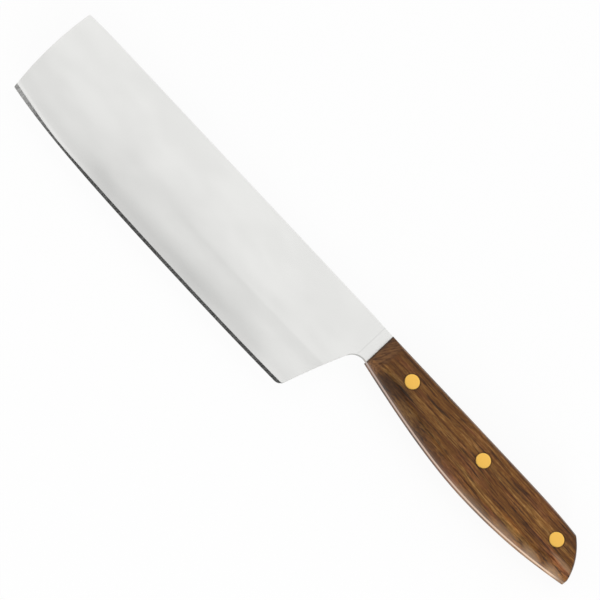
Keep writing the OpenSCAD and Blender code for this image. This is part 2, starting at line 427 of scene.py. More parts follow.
@dataclass(frozen=True)
class GroundSteel:
    """Stainless knife steel, ground and satin polished, so it shines softly with no sharp reflection."""

    name: str = "satin_ground_stainless_steel"
    colour: str = "#E9E9E7"
    lines: Grain = Grain((0.3, 9.0, 0.3), detail=3.0, roughness=0.6)
    line_depth: float = 0.0004
    cloud: Grain = Grain((26.0, 12.0, 12.0), (0.3, 0.7, 0.22, 0.27))
    stop_x: float = -4.7
    stop_half: float = 0.55
    stop_level: float = 0.93
    painted_reflection: str = "painted_reflection"

    def material(self) -> Material:
        """Makes the finish: polishing lines from spine to edge, drawn coarser than real so that they show.

        The colour is a little darker in a faint line across the neck, where the face grinding runs out.
        The blade's points carry painted reflection levels, which follow the edge: a painted shade band
        and painted highlights.
        """
        recipe = Recipe(bpy.data.materials.new(self.name))
        off = recipe.add("Math", (recipe.x, -at_x(self.stop_x)), operation="ADD")
        away = recipe.add("Math", (off,), operation="ABSOLUTE")
        colour = recipe.shade(linear(self.colour), away, (0.0, self.stop_half * MM, self.stop_level, 1.0))
        # Multiplies the colour by the painted reflection levels: a painted shade band and painted highlights.
        painted_reflection = recipe.add("Attribute", out="Vector", attribute_name=self.painted_reflection)
        colour = recipe.add("Mix", {0: 1.0, 6: colour, 7: painted_reflection}, 2, **MULTIPLY)
        rough = recipe.levels(self.cloud)
        lines = recipe.noise(self.lines)
        inputs = {"Base Color": colour, "Metallic": 1.0, "Roughness": rough}
        return recipe.surface(inputs, lines, self.line_depth)


@dataclass(frozen=True)
class SharpenedSteel:
    """The bevel of the same steel, as the sharpening stone cut it, so fine bright scratches cross it."""

    name: str = "stone_sharpened_steel"
    colour: str = "#C9C9C7"
    scratches: Grain = Grain((0.35, 3.0, 3.0), (0.35, 0.65, 0.2, 0.32), roughness=0.7, turn_deg=12.0)
    scratch_depth: float = 0.004
    buffed_and_painted_light: str = "#DEDEDC"
    buffed_x: Pair = (-174.0, -148.0)
    buffed_rough: float = 0.17

    def material(self) -> Material:
        """Makes the finish: scratches across the edge, a third of a millimetre apart so that they show.

        The buffing wheel also caught the bevel's front end, which is duller there, and its colour is painted
        lighter there as a painted reflection.
        """
        recipe = Recipe(bpy.data.materials.new(self.name))
        buffed_and_painted_light = recipe.add("MapRange", (recipe.x, *map(at_x, self.buffed_x), 1.0, 0.0), **EASED)
        scratches = recipe.noise(self.scratches)
        rough = recipe.add("MapRange", (scratches, *self.scratches.span), **EASED)
        rough = recipe.add("Math", (buffed_and_painted_light, self.buffed_rough, rough), operation="MULTIPLY_ADD")
        # Paints the bevel's front end lighter, a painted reflection.
        colour = recipe.add("Mix", {0: buffed_and_painted_light, 6: linear(self.colour), 7: linear(self.buffed_and_painted_light)}, 2, **COLOURS)
        inputs = {"Base Color": colour, "Metallic": 1.0, "Roughness": rough}
        return recipe.surface(inputs, scratches, self.scratch_depth)


@dataclass(frozen=True)
class LinishedSteel:
    """The narrow sides of neck and tang, linished flush with the wood, so dull, with a warm tint."""

    name: str = "belt_linished_steel"
    roughness: float = 0.45
    lines: Grain = Grain((5.0, 0.2, 0.2), roughness=0.6)
    line_depth: float = 0.002
    tint_and_painted_light: Stops = ((-2.0, "#BDBDBA"), (2.0, "#BBA59A"), (113.0, "#F3D3B6"), (117.5, "#A5866A"))

    def material(self) -> Material:
        """Makes the finish: belt lines along the knife, over a warm tint and painted light.

        The tint sets in at the handle and is painted lighter towards the butt as painted light, then darker
        at the butt's lower corner.
        """
        recipe = Recipe(bpy.data.materials.new(self.name))
        # A warm tint, painted lighter towards the butt as painted light, and darker at the butt's lower
        # corner.
        tint_and_painted_light_colour = recipe.coloured(recipe.x, tuple((at_x(x), code) for x, code in self.tint_and_painted_light))
        inputs = {"Base Color": tint_and_painted_light_colour, "Metallic": 1.0, "Roughness": self.roughness}
        return recipe.surface(inputs, recipe.noise(self.lines), self.line_depth)


@dataclass(frozen=True)
class TurnedBrass:
    """Cutler's brass, sanded flush with the wood and lightly polished, so that it is bright and even."""

    name: str = "sanded_cutlers_brass"
    colour: str = "#F9C560"
    roughness: float = 0.3
    scratches: Grain = Grain((4.0, 0.25, 4.0), roughness=0.6, turn_deg=4.0)
    scratch_depth: float = 0.0008

    def material(self) -> Material:
        """Makes the finish: faint sanding lines along the handle."""
        recipe = Recipe(bpy.data.materials.new(self.name))
        inputs = {"Base Color": linear(self.colour), "Metallic": 1.0, "Roughness": self.roughness}
        return recipe.surface(inputs, recipe.noise(self.scratches), self.scratch_depth)


@dataclass(frozen=True)
class Spot:
    """A soft-edged oval patch of wood, and its level in the middle."""

    x: float
    y: float
    half_x: float
    half_y: float
    level: float


@dataclass(frozen=True)
class OiledWalnut:
    """Dark walnut, sanded and oiled, so brown streaks, dark veins and pores show under a low sheen.

    Spots multiply the wood's colour, and painted sheen spots mix it with a pale colour, a painted sheen on
    the rounded lower rear edge.
    """

    name: str = "oiled_walnut"
    browns: Stops = ((0.33, "#4A2A0D"), (0.5, "#6A4218"), (0.69, "#8F6633"))
    red: str = "#75432A"
    vein: str = "#2B1809"
    nose_dark: str = "#4A2C15"
    nose_light: str = "#7D5530"
    pale: str = "#AF9172"
    sway: Grain = Grain((60.0, 18.0, 18.0), (0.2, 0.8, -1.0 * MM, 1.0 * MM), 1.0)
    bands: Grain = Grain((58.0, 2.4, 4.0), detail=5.0, roughness=0.62, turn_deg=1.0)
    patches: Grain = Grain((26.0, 3.6, 6.0), (0.5, 0.72, 0.0, 0.5), 3.0, 0.6)
    veins: Grain = Grain((20.0, 0.8, 1.6), (0.54, 0.64, 0.0, 0.85), 3.0, 0.7, 1.0)
    fibre: Grain = Grain((3.0, 0.4, 0.6), (0.28, 0.72, 0.62, 1.42), 5.0, 0.72)
    streaks: Grain = Grain((15.0, 0.6, 0.9), (0.3, 0.7, 0.76, 1.18))
    pores: Grain = Grain((1.8, 0.26, 0.4), (0.6, 0.7, 1.0, 0.6), 1.0)
    lines: Grain = Grain((16.0, 0.34, 0.8), (0.54, 0.62, 1.0, 0.5), 1.0)
    slant: Grain = Grain((5.0, 0.8, 1.0), (0.3, 0.7, 0.0, 1.0), 2.0, 0.6, -58.0)
    ragged: Grain = Grain((9.0, 3.0, 3.0), detail=3.0)
    deepening: Triple = (1.0, 1.35, 1.9)
    lighter_x: Pair = (0.0, 120.0)
    lighter: float = 1.34
    lines_x: Pair = (55.0, 80.0)
    lines_share: float = 0.3
    rough_span: Span = (0.3, 0.7, 0.38, 0.48)
    pore_span: Span = (0.6, 0.7, 0.0, -0.8)
    relief_depth: float = 0.03
    relief_share: float = 0.5
    sheen: float = 0.25
    nose_x: Pair = (6.2, 9.6)
    nose_sway: float = 4.0
    nose_share: float = 0.85
    joint_shade_x: Pair = (0.2, 1.2)
    joint_shade_level: float = 0.4
    butt_shade_span: Span = (0.1, 0.5, 1.0, 0.66)
    ring_mm: Pair = (3.25, 4.0)
    ring_level: float = 0.62
    spot_core: float = 0.3
    # The two spots with a level over 1, near the lower rear edge, are painted light on that rounded edge.
    spots: tuple[Spot, ...] = (
        Spot(15.0, -17.4, 15.0, 5.6, 0.46), Spot(30.0, -20.6, 13.0, 4.4, 0.6),
        Spot(42.0, -22.6, 18.0, 3.2, 0.8), Spot(109.0, -4.2, 13.0, 6.0, 0.7),
        Spot(112.0, -15.6, 10.0, 2.2, 1.2), Spot(108.0, -18.4, 10.0, 1.3, 0.68),
        Spot(84.0, -9.0, 12.0, 4.0, 0.85), Spot(88.0, -19.2, 9.0, 1.7, 1.5),
        Spot(74.0, -23.9, 11.0, 1.7, 0.6), Spot(86.0, -22.0, 9.0, 2.1, 0.52),
        Spot(99.0, -21.0, 9.0, 2.0, 0.52))
    # Painted sheen on the rounded lower rear edge: spots mixed with the pale colour.
    painted_sheen_spots: tuple[Spot, ...] = (
        Spot(70.0, -25.4, 20.0, 1.9, 0.18), Spot(90.0, -24.3, 13.0, 2.1, 0.26),
        Spot(103.0, -22.5, 8.0, 2.2, 0.34), Spot(114.0, -20.6, 7.5, 2.3, 0.42),
        Spot(113.5, -16.0, 9.0, 1.5, 0.4))

    def material(self) -> Material:
        """Makes the finish: straight figure with red patches, veins, fibres and pores along the handle."""
        recipe = Recipe(bpy.data.materials.new(self.name))
        lift = recipe.add("CombineXYZ", {1: recipe.levels(self.sway)})
        wavy = recipe.add("VectorMath", (recipe.where, lift), operation="ADD")
        fibre, pores = recipe.noise(self.fibre, wavy), recipe.noise(self.pores, wavy)
        colour = self._figure(recipe, wavy)
        colour = recipe.shade(colour, fibre, self.fibre.span, self.deepening)
        colour = recipe.shade(colour, recipe.noise(self.streaks, wavy), self.streaks.span, self.deepening)
        colour = recipe.shade(colour, pores, self.pores.span)
        colour = recipe.shade(colour, recipe.x, (*map(at_x, self.lighter_x), 1.0, self.lighter))
        lined = recipe.shade(colour, recipe.noise(self.lines, wavy), self.lines.span)
        colour = recipe.over(colour, lined, recipe.x, (*map(at_x, self.lines_x), self.lines_share, 1.0))
        for spot in self.spots:
            reach = self._reach(recipe, wavy, spot)
            colour = recipe.shade(colour, reach, (self.spot_core, 1.0, spot.level, 1.0))
        # Paints sheen on the rounded lower rear edge.
        for spot in self.painted_sheen_spots:
            reach = self._reach(recipe, recipe.where, spot)
            colour = recipe.over(colour, linear(self.pale), reach, (self.spot_core, 1.0, spot.level, 0.0))
        colour = self._rings(recipe, self._ends(recipe, colour))
        sunk = recipe.add("MapRange", (pores, *self.pore_span), **EASED)
        relief = recipe.add("Math", (fibre, sunk), operation="ADD")
        rough = recipe.add("MapRange", (fibre, *self.rough_span), **EASED)
        inputs = {"Base Color": colour, "Roughness": rough, "IOR": 1.5, "Specular IOR Level": self.sheen}
        return recipe.surface(inputs, relief, self.relief_depth, self.relief_share)

    def _figure(self, recipe: Recipe, wavy: Socket) -> Socket:
        """Lays brown bands along the handle, with red patches and dark veins between them.

        Args:
            recipe: The material's nodes.
            wavy: Object coordinates that sway a little across the grain.

        Returns:
            The colour.
        """
        colour = recipe.coloured(recipe.noise(self.bands, wavy), self.browns)
        colour = recipe.over(colour, linear(self.red), recipe.noise(self.patches, wavy), self.patches.span)
        return recipe.over(colour, linear(self.vein), recipe.noise(self.veins, wavy), self.veins.span)

    def _ends(self, recipe: Recipe, colour: Socket) -> Socket:
        """Shows the cut fibres slanting and pale on the sloped front, and paints shade by the joint and where
        the wood faces the butt.

        Args:
            recipe: The material's nodes.
            colour: The colour of the wood between the ends.

        Returns:
            The colour.
        """
        slanting, ragged = recipe.noise(self.slant), recipe.noise(self.ragged)
        slope = recipe.over(linear(self.nose_dark), linear(self.nose_light), slanting, self.slant.span)
        edge = recipe.add("Math", (ragged, self.nose_sway * MM, recipe.x), operation="MULTIPLY_ADD")
        colour = recipe.over(colour, slope, edge, (*map(at_x, self.nose_x), self.nose_share, 0.0))
        # Painted shade: a dark line by the joint with the steel.
        colour = recipe.shade(colour, recipe.x, (*map(at_x, self.joint_shade_x), self.joint_shade_level, 1.0))
        # Painted shade: darker where the wood faces the butt.
        facing = recipe.add("SeparateXYZ", (recipe.add("NewGeometry", out="Normal"),))
        return recipe.shade(colour, facing, self.butt_shade_span)

    def _reach(self, recipe: Recipe, where: Socket, spot: Spot) -> Socket:
        """Measures how far the surface lies from the middle of an oval patch.

        Args:
            recipe: The material's nodes.
            where: Coordinates in metres.
            spot: The patch.

        Returns:
            The distance as a share of the patch's size.
        """
        centre = place(np.array([spot.x, spot.y, 0.0])) * [-1.0, -1.0, 0.0]
        shares = (1.0 / (spot.half_x * MM), 1.0 / (spot.half_y * MM), 0.0)
        off = recipe.add("VectorMath", (where, tuple(centre)), operation="ADD")
        far = recipe.add("VectorMath", (off, shares), operation="MULTIPLY")
        return recipe.add("VectorMath", (far,), "Value", operation="LENGTH")

    def _rings(self, recipe: Recipe, colour: Socket) -> Socket:
        """Darkens the wood just round each rivet head.

        Args:
            recipe: The material's nodes.
            colour: The colour without the rings.

        Returns:
            The colour.
        """
        nearest: Any = 1.0
        flat = recipe.add("VectorMath", (recipe.where, (1.0, 1.0, 0.0)), operation="MULTIPLY")
        for x, y in RIVETS.values():
            centre = place(np.array([x, y, 0.0])) * [1.0, 1.0, 0.0]
            gap = recipe.add("VectorMath", (flat, tuple(centre)), "Value", operation="DISTANCE")
            nearest = recipe.add("Math", (gap, nearest), operation="MINIMUM")
        near, far = self.ring_mm
        return recipe.shade(colour, nearest, (near * MM, far * MM, self.ring_level, 1.0))


# The knife

@dataclass
class Grip:
    """The handle's outline, which the tang and both scales share, with the rounding of the scales' edges."""

    length: float = 119.4
    half: float = 7.0
    steel_half: float = 1.0
    front_depth: float = 16.0
    depth: float = 24.8
    belly_x: float = 68.0
    belly_bend: float = 1.5
    tip_depth: float = 19.1
    tip_corner_r: float = 0.9
    top_drop: float = 0.4
    shoulder_depth: float = 1.5
    drop_start: float = 0.6
    drop_power: float = 4.0
    butt_r: float = 28.0
    butt_y: float = -25.0
    nose_len: float = 6.5
    nose_drop: float = 2.2
    nose_power: float = 1.25
    top_round: float = 3.0
    belly_round: float = 3.2
    tip_round: float = 4.5
    butt_round: float = 1.6
    flare_start: float = 0.82
    flare_share: float = 0.7
    top_start: float = 0.1
    top_slant: float = 0.55
    lower_start: float = 1.7
    lower_slant: float = 0.3
    spans: tuple[int, int, int] = (60, 60, 130)
    butt_crowd: float = 1.5

    def top_y(self, t: Array) -> Array:
        """Upper edge at the share t of the length: level, then a drop that grows with the fourth power."""
        late = np.clip((t - self.drop_start) / (1.0 - self.drop_start), 0.0, 1.0)
        return -self.top_drop - (self.shoulder_depth - self.top_drop) * late ** self.drop_power

    def belly_y(self, t: Array) -> Array:
        """Works out the lower edge: a hyperbola from the front to the deepest point, then a parabola.

        Args:
            t: Shares of the length.

        Returns:
            The lower edge's y.
        """
        x = t * self.length
        ahead = np.maximum((self.belly_x - x) / self.belly_x, 0.0)
        behind = np.maximum((x - self.belly_x) / (self.length - self.belly_x), 0.0)
        bend = self.belly_bend
        front = (np.sqrt(1.0 + (bend * ahead) ** 2) - 1.0) / (math.sqrt(1.0 + bend ** 2) - 1.0)
        deep = -self.depth + (self.depth - self.front_depth) * front
        return deep + (self.depth - self.tip_depth) * behind ** 2

    def nose(self, z: Array) -> Array:
        """Set-back of the scales' front end at a height: none, then a slope that flattens with a power."""
        share = np.clip((z - self.half + self.nose_drop) / self.nose_drop, 0.0, 1.0)
        return self.nose_len * share ** self.nose_power

    def lower_round(self, t: Array) -> Array:
        """Width of the rounding along the lower edge: it narrows a little, then widens at the rear tip.

        Args:
            t: Shares of the length.

        Returns:
            The width at each share.
        """
        narrow = self.belly_round * self.flare_share
        flare = (self.tip_round - narrow) * rise(t, self.flare_start, 1.0)
        return mix(self.belly_round, narrow, smooth(t / self.flare_start)) + flare

    def ring(self, turn: float) -> Array:
        """Runs once along the upper edge, down the butt's arc and back along the lower edge.

        Edges are rounded as a quarter of an ellipse, mixed with a slant along the two long edges. At the
        angle turn the line is set in by the rounding's width times 1 - cos(turn), or sin(turn) for the slant,
        and it has risen by sin(turn) of the way from the rounding's start to the flat face.

        Args:
            turn: Angle in radians, from 0 at the outside to a right angle at the flat face.

        Returns:
            (n, 3) places from the upper front corner to the lower front corner.
        """
        far, rising = 1.0 - math.cos(turn), math.sin(turn)
        top_in = self.top_round * mix(far, rising, self.top_slant)
        lower_in = mix(far, rising, self.lower_slant)
        z_top = mix(self.steel_half + self.top_start, self.half, rising)
        z_low = mix(self.steel_half + self.lower_start, self.half, rising)
        radius = self.butt_r - self.butt_round * far
        tip_off = self.tip_depth - self.tip_corner_r + self.butt_y
        centre = self.length - math.sqrt(self.butt_r ** 2 - tip_off ** 2)
        tip_y = -self.tip_depth + float(self.lower_round(np.array(1.0))) * lower_in
        high = math.asin((-self.shoulder_depth - top_in - self.butt_y) / radius)
        low = math.asin((tip_y - self.butt_y) / radius)
        t = np.linspace(0.0, 1.0, self.spans[0] + 1)
        top = np.stack([mix(self.nose(np.array(z_top)), centre + radius * math.cos(high), t),
                        self.top_y(t) - top_in, np.full_like(t, z_top)], axis=1)
        t = 1.0 - np.linspace(1.0, 0.0, self.spans[1] + 1)[1:] ** self.butt_crowd
        y = self.butt_y + radius * np.sin(mix(high, low, t))
        corner = self.tip_corner_r
        cut = corner - np.sqrt(corner ** 2 - np.clip(tip_y + corner - y, 0.0, corner) ** 2)
        x = centre + radius * np.cos(mix(high, low, t)) - cut
        butt = np.stack([x, y, mix(z_top, z_low, smooth(t))], axis=1)
        t = np.linspace(1.0, 0.0, self.spans[2] + 1)[1:]
        belly = np.stack([mix(self.nose(np.array(z_low)), butt[-1, 0], t),
                          self.belly_y(t) + self.lower_round(t) * lower_in, np.full_like(t, z_low)], axis=1)
        return np.concatenate([top, butt, belly])


class Half(Enum):
    """The two halves of a rivet."""

    POST = "post"
    SOCKET = "socket"


class Side(Enum):
    """The two sides of the knife, with the sign of their height."""

    LEFT = 1.0
    RIGHT = -1.0


@dataclass
class Rivet:
    """A two-piece cutler's rivet: a solid shank from the left, pressed into a hollow one from the right."""

    name: str
    x: float
    y: float
    half: float = 7.0
    head_d: float = 6.5
    head_t: float = 1.6
    socket_d: float = 4.8
    post_d: float = 3.2
    gap: float = 0.4
    groove: float = 0.05
    rim_r: float = 0.16
    dome: float = 0.03
    chamfer: float = 0.15
    face_steps: int = 7
    rim_steps: int = 6

    @property
    def centre(self) -> Pair:
        """The rivet's axis."""
        return self.x, self.y

    def head(self) -> Array:
        """Gives a head's profile from its middle to its underside: slight dome, round rim, straight wall.

        Returns:
            (n, 2) pairs of radius and height.
        """
        radius = self.head_d / 2.0 - self.groove
        flat = radius - self.rim_r
        share = np.linspace(0.0, 1.0, self.face_steps + 1)[:-1]
        turn = np.linspace(0.0, math.pi / 2.0, self.rim_steps + 1)
        face = np.stack([share * flat, self.half - self.dome * share ** 2], axis=1)
        rim = np.stack([flat + self.rim_r * np.sin(turn),
                        self.half - self.dome - self.rim_r * (1.0 - np.cos(turn))], axis=1)
        return np.concatenate([face, rim, [[radius, self.half - self.head_t]]])

    def profile(self, which: Half) -> Array:
        """Gives the profile round a whole half, from the middle of its head back to its axis.

        Args:
            which: The half.

        Returns:
            (n, 2) pairs of radius and height.
        """
        inner, under, outer = self.post_d / 2.0, self.half - self.head_t, self.socket_d / 2.0
        tip = under - self.gap
        if which is Half.POST:
            shank = [[inner, under], [inner, self.chamfer - tip], [inner - self.chamfer, -tip], [0.0, -tip]]
            return np.concatenate([self.head(), shank])
        tube = [[outer, -under], [outer, tip - self.chamfer], [outer - self.chamfer, tip], [inner, tip],
                [inner, -under], [0.0, -under]]
        return np.concatenate([self.head() * [1.0, -1.0], tube])

    def build(self, material: Material) -> None:
        """Makes both halves, each in place of its CAD node.

        Args:
            material: Their finish.
        """
        for which in Half:
            shell = Shell()
            shell.revolve(self.profile(which), self.centre)
            made = shell.build(f"{self.name}_{which.value}_brass", [material])
            deliver(made, f"{self.name}_rivet_{which.value}")


@dataclass
class Scale:
    """One wooden half of the handle, with a flat face, rounded edges and a sloped front end."""

    side: Side
    grip: Grip
    rivets: list[Rivet]
    turns: int = 22
    front_spans: int = 14
    foot: float = 0.05
    lip: float = 0.3
    hole_chamfer: float = 0.06

    def rings(self) -> Array:
        """Stacks closed rings from the steel up the side and round the edges to just inside the flat face.

        Returns:
            (rings, points, 3) places, without the repeat of each ring's first point.
        """
        rings = []
        for turn in np.linspace(0.0, math.pi / 2.0, self.turns + 1):
            ring = self.grip.ring(float(turn))
            share = np.linspace(0.0, 1.0, self.front_spans + 1)[1:-1, None]
            rings.append(np.concatenate([ring, mix(ring[-1], ring[0], share)]))
        outline, face = rings[0][:, :2], rings[-1][:, :2]
        steel = self.grip.steel_half
        start = [at_height(inset(outline, self.foot), steel), at_height(outline, steel + self.foot)]
        return np.stack([*start, *rings, at_height(inset(face, self.lip), self.grip.half)])

    def build(self, material: Material) -> None:
        """Makes the scale with its counterbored holes, in place of its CAD node.

        Args:
            material: Its finish.
        """
        rings = self.rings()
        shell = Shell()
        shell.grid(np.concatenate([rings, rings[:, :1]], axis=1))
        half, steel = self.grip.half, self.grip.steel_half
        wide, narrow = self.rivets[0].head_d / 2.0, self.rivets[0].socket_d / 2.0
        floor = half - self.rivets[0].head_t
        hole = np.array([[wide + self.hole_chamfer, half], [wide, half - self.hole_chamfer], [wide, floor],
                         [narrow, floor], [narrow, steel]])
        centres = [rivet.centre for rivet in self.rivets]
        for centre in centres:
            shell.revolve(hole, centre)
        shell.plate(rings[-1, :, :2], [circle(c, wide + self.hole_chamfer) for c in centres], half)
        shell.plate(rings[0, :, :2], [circle(c, narrow) for c in centres], steel)
        shell.points = [points * [1.0, 1.0, self.side.value] for points in shell.points]
        name = self.side.name.lower()
        deliver(shell.build(f"{name}_scale_wood", [material]), f"{name}_scale")


@dataclass(frozen=True)
class PaintedReflection:
    """Painted reflection levels that multiply the blade's colour.

    It is 1, less a painted shade band that deepens towards the edge over the blade's middle, plus a painted
    highlight line just over the bevel at the front, and a little painted light near the heel. Each pair says
    where something begins and where it is full: along the knife, or as a height over the cutting edge if its
    name ends in h.
    """

    painted_shade: float = 0.19
    shade_front: Pair = (-152.0, -118.0)
    shade_rear: Pair = (-22.0, -38.0)
    shade_h: Pair = (28.0, 20.0)
    deep_h: Pair = (14.0, 4.0)
    high_share: float = 0.25
    weaker: Pair = (-90.0, -50.0)
    weaker_share: float = 0.75
    gleam: float = 0.09
    gleam_front: Pair = (-122.0, -150.0)
    gleam_over: float = 0.8
    gleam_half: float = 0.6
    heel_gleam: float = 0.04
    heel_rear: Pair = (-48.0, -26.0)
    heel_top_h: Pair = (16.0, 11.0)
    heel_low_h: Pair = (1.0, 3.0)

    def level(self, x: Array, above: Array, bevel: Array) -> Array:
        """Works out the painted reflection level.

        Args:
            x: Places along the knife.
            above: Their heights over the cutting edge.
            bevel: Height of the bevel there.

        Returns:
            A multiplier for each place.
        """
        # A painted shade band that deepens towards the edge over the blade's middle.
        middle = rise(x, *self.shade_front) * mix(1.0, self.weaker_share, rise(x, *self.weaker))
        middle = middle * rise(x, *self.shade_rear)
        lower = mix(self.high_share, 1.0, rise(above, *self.deep_h)) * rise(above, *self.shade_h)
        # A painted highlight line over the bevel at the front, and painted light near the heel.
        line = np.exp(-((above - bevel - self.gleam_over) / self.gleam_half) ** 2)
        line = line * rise(x, *self.gleam_front)
        heel = rise(x, *self.heel_rear) * rise(above, *self.heel_top_h) * rise(above, *self.heel_low_h)
        return 1.0 - self.painted_shade * middle * lower + self.gleam * line + self.heel_gleam * heel


@dataclass
class Blade:
    """The blade with its neck and full tang, one piece of steel that is ground thin towards the edge."""

    grip: Grip
    rivets: list[Rivet]
    length: float = 178.2
    front_lean: float = 0.7
    depth: float = 50.3
    low_x: float = 56.0
    sweep: float = 5.4
    belly_share: float = 0.38
    heel_rise: float = 0.5
    bow: float = 1.5
    heel_x: float = 17.1
    heel_lean: float = 15.0
    heel_curve_len: float = 14.0
    notch_lean: float = 19.5
    notch_r: float = 6.2
    notch_x: float = 1.5
    front_r: float = 0.8
    heel_r: float = 3.6
    face_half: float = 0.98
    taper_y: float = 6.0
    taper_slope: float = 0.0113
    taper_mid: float = 18.0
    taper_soft: float = 12.0
    fore: Pair = (-60.0, -155.0)
    grind_h: float = 19.6
    grind_slope: Pair = (0.021, 0.013)
    grind_soft: Pair = (0.35, 5.0)
    grind_rise: float = 3.5
    grind_back: float = 0.01
    back_below: float = 3.5
    back_soft: float = 2.0
    lower_slope: float = 0.011
    lower_h: float = 7.5
    lower_soft: float = 2.2
    ease_share: float = 0.9
    ease_h: float = 3.1
    ease_soft: float = 0.9
    waves: tuple[tuple[float, ...], ...] = ((0.010, 0.105, 1.1, 0.17, 0.5), (0.006, 0.23, 0.0, 0.11, 0.0))
    wave_y: Pair = (-3.0, -11.0)
    wave_h: Pair = (2.0, 8.0)
    wave_x: Pair = (-10.0, -18.0)
    bevel_h: float = 1.35
    bevel_h_front: float = 0.5
    bevel_flare: float = 0.35
    bevel_dip: float = 0.78
    bevel_dip_x: float = -151.0
    bevel_dip_half: float = 16.5
    land: float = 0.03
    ricasso: float = 4.4
    run_out: float = 0.8
    plate_x: float = -3.0
    spine_ease: float = 12.0
    front_drop: float = 0.5
    front_ease: float = 16.0
    edge_break: float = 0.22
    break_run: float = 4.0
    heel_break_end: float = 2.0
    hole_d: float = 5.0
    columns: int = 280
    column_ease: float = 0.72
    row_counts: tuple[int, ...] = (5, 12, 9, 8, 10, 34, 2, 7)
    row_powers: tuple[float, ...] = (1.5, 1.3, -2.6, 1.6, 1.0, -1.4, 1.0, 1.0)
    grind_band: float = 1.2
    bevel_band: Pair = (0.06, 0.02)
    settling: int = 6
    heel_steps: int = 200
    neck_steps: int = 59
    arc_steps: int = 14
    rim_rows: int = 8
    front_columns: int = 14
    heel_columns: int = 30
    side_bulge: float = 1.02

    def edge_y(self, x: Any) -> Array:
        """Works out the cutting edge: a belly of the second and fifth power, and a slight rise to the heel.

        Args:
            x: Places along the knife.

        Returns:
            The edge's y.
        """
        t = -(np.asarray(x) + self.low_x) / (self.length - self.low_x)
        front = self.belly_share * t ** 2 + (1.0 - self.belly_share) * np.maximum(t, 0.0) ** 5
        heel = self.heel_rise * ((x + self.low_x) / (self.low_x - self.heel_x)) ** 2
        return -self.depth + np.where(t > 0.0, self.sweep * front, heel)

    def spine_y(self, x: Array) -> Array:
        """Works out the spine: straight, with a slight drop to the front and an easy slope to the handle.

        Args:
            x: Places along the knife.

        Returns:
            The spine's y.
        """
        front = np.clip((self.front_ease - self.length - x) / self.front_ease, 0.0, 1.0)
        rear = np.clip((x + self.spine_ease) / self.spine_ease, 0.0, 1.0)
        return -self.front_drop * front ** 2 - self.grip.top_drop * rear

    def front_x(self, y: Any) -> Array:
        """Front end: it leans back a little and bows out in the middle as a shallow parabola."""
        share = (y + self.front_drop) / (self.edge_y(self.front_lean - self.length) + self.front_drop)
        return self.front_lean * share - self.length - 4.0 * self.bow * share * (1.0 - share)

    @property
    def notch_y(self) -> float:
        """Height of the centre of the finger notch, whose arc ends at the handle's lower front corner."""
        return -self.grip.front_depth - math.sqrt(self.notch_r ** 2 - self.notch_x ** 2)

    def notch(self, angle: Any) -> Array:
        """Gives the points of the notch's arc at angles in radians."""
        x, y = self.notch_r * np.cos(angle), self.notch_r * np.sin(angle)
        return np.stack([x - self.notch_x, y + self.notch_y], axis=-1)

    @property
    def notch_from(self) -> float:
        """Angle at which the heel line runs into the notch."""
        return math.pi - math.radians(self.notch_lean)

    @property
    def plate_from(self) -> float:
        """Angle on the notch at which the neck turns into the tang."""
        return math.acos((self.plate_x + self.notch_x) / self.notch_r)

    @property
    def notch_row(self) -> int:
        """Number of the grid's row that runs into the notch."""
        return sum(self.row_counts[:3])

    def heel_line(self, y: Array) -> Array:
        """Works out the heel: a quadratic curve from the heel corner to the notch, and upright above it.

        Args:
            y: Places across the knife.

        Returns:
            The heel's x.
        """
        lean = math.radians(self.heel_lean)
        corner = np.array([-self.heel_x, float(self.edge_y(-self.heel_x))])
        control = corner + self.heel_curve_len * np.array([math.sin(lean), math.cos(lean)])
        end = self.notch(self.notch_from)
        t = np.linspace(0.0, 1.0, self.heel_steps)[:, None]
        curve = corner * (1.0 - t) ** 2 + control * 2.0 * t * (1.0 - t) + end * t ** 2
        return np.interp(y, curve[:, 1], curve[:, 0])

    def bevel_at(self, x: Array) -> Array:
        """Works out the height of the sharpened bevel, which grows to the front after a narrower stretch.

        Args:
            x: Places along the knife.

        Returns:
            The bevel's height.
        """
        share = (x + self.length) / (self.length * self.bevel_flare)
        dip = self.bevel_dip * np.exp(-((x - self.bevel_dip_x) / self.bevel_dip_half) ** 2)
        return self.bevel_h + self.bevel_h_front * (1.0 - smooth(share)) - dip

    def ground_half(self, x: Array, y: Array) -> Array:
        """Works out half the thickness that grinding leaves above the bevel.

        From the spine down the face is flat, then its slope sets in slowly, grows at the grind line, which
        is sharp near the heel and soft and higher towards the front, falls back a little below it, grows once
        more above the edge and eases off just over the bevel. Products of two sines lend it slight waves.

        Args:
            x: Places along the knife.
            y: Places across it.

        Returns:
            The half thickness at each place.
        """
        above, fore = y - self.edge_y(x), rise(x, *self.fore)
        face = self.taper_slope * ramp(-self.taper_mid - y, self.taper_soft)
        start = self.grind_h + self.grind_rise * fore - above
        grind = mix(*self.grind_slope, fore) * ramp(start, mix(*self.grind_soft, fore))
        grind = grind - self.grind_back * (1.0 - fore) * ramp(start - self.back_below, self.back_soft)
        eased = self.ease_share * ramp(self.ease_h - above, self.ease_soft)
        lower = self.lower_slope * (ramp(self.lower_h - above, self.lower_soft) - eased)
        wave = sum(h * np.sin(a * x + b) * np.sin(c * y + d) for h, a, b, c, d in self.waves)
        calm = rise(y, *self.wave_y) * rise(above, *self.wave_h) * rise(x, *self.wave_x)
        return self.face_half - face - grind - lower + wave * calm

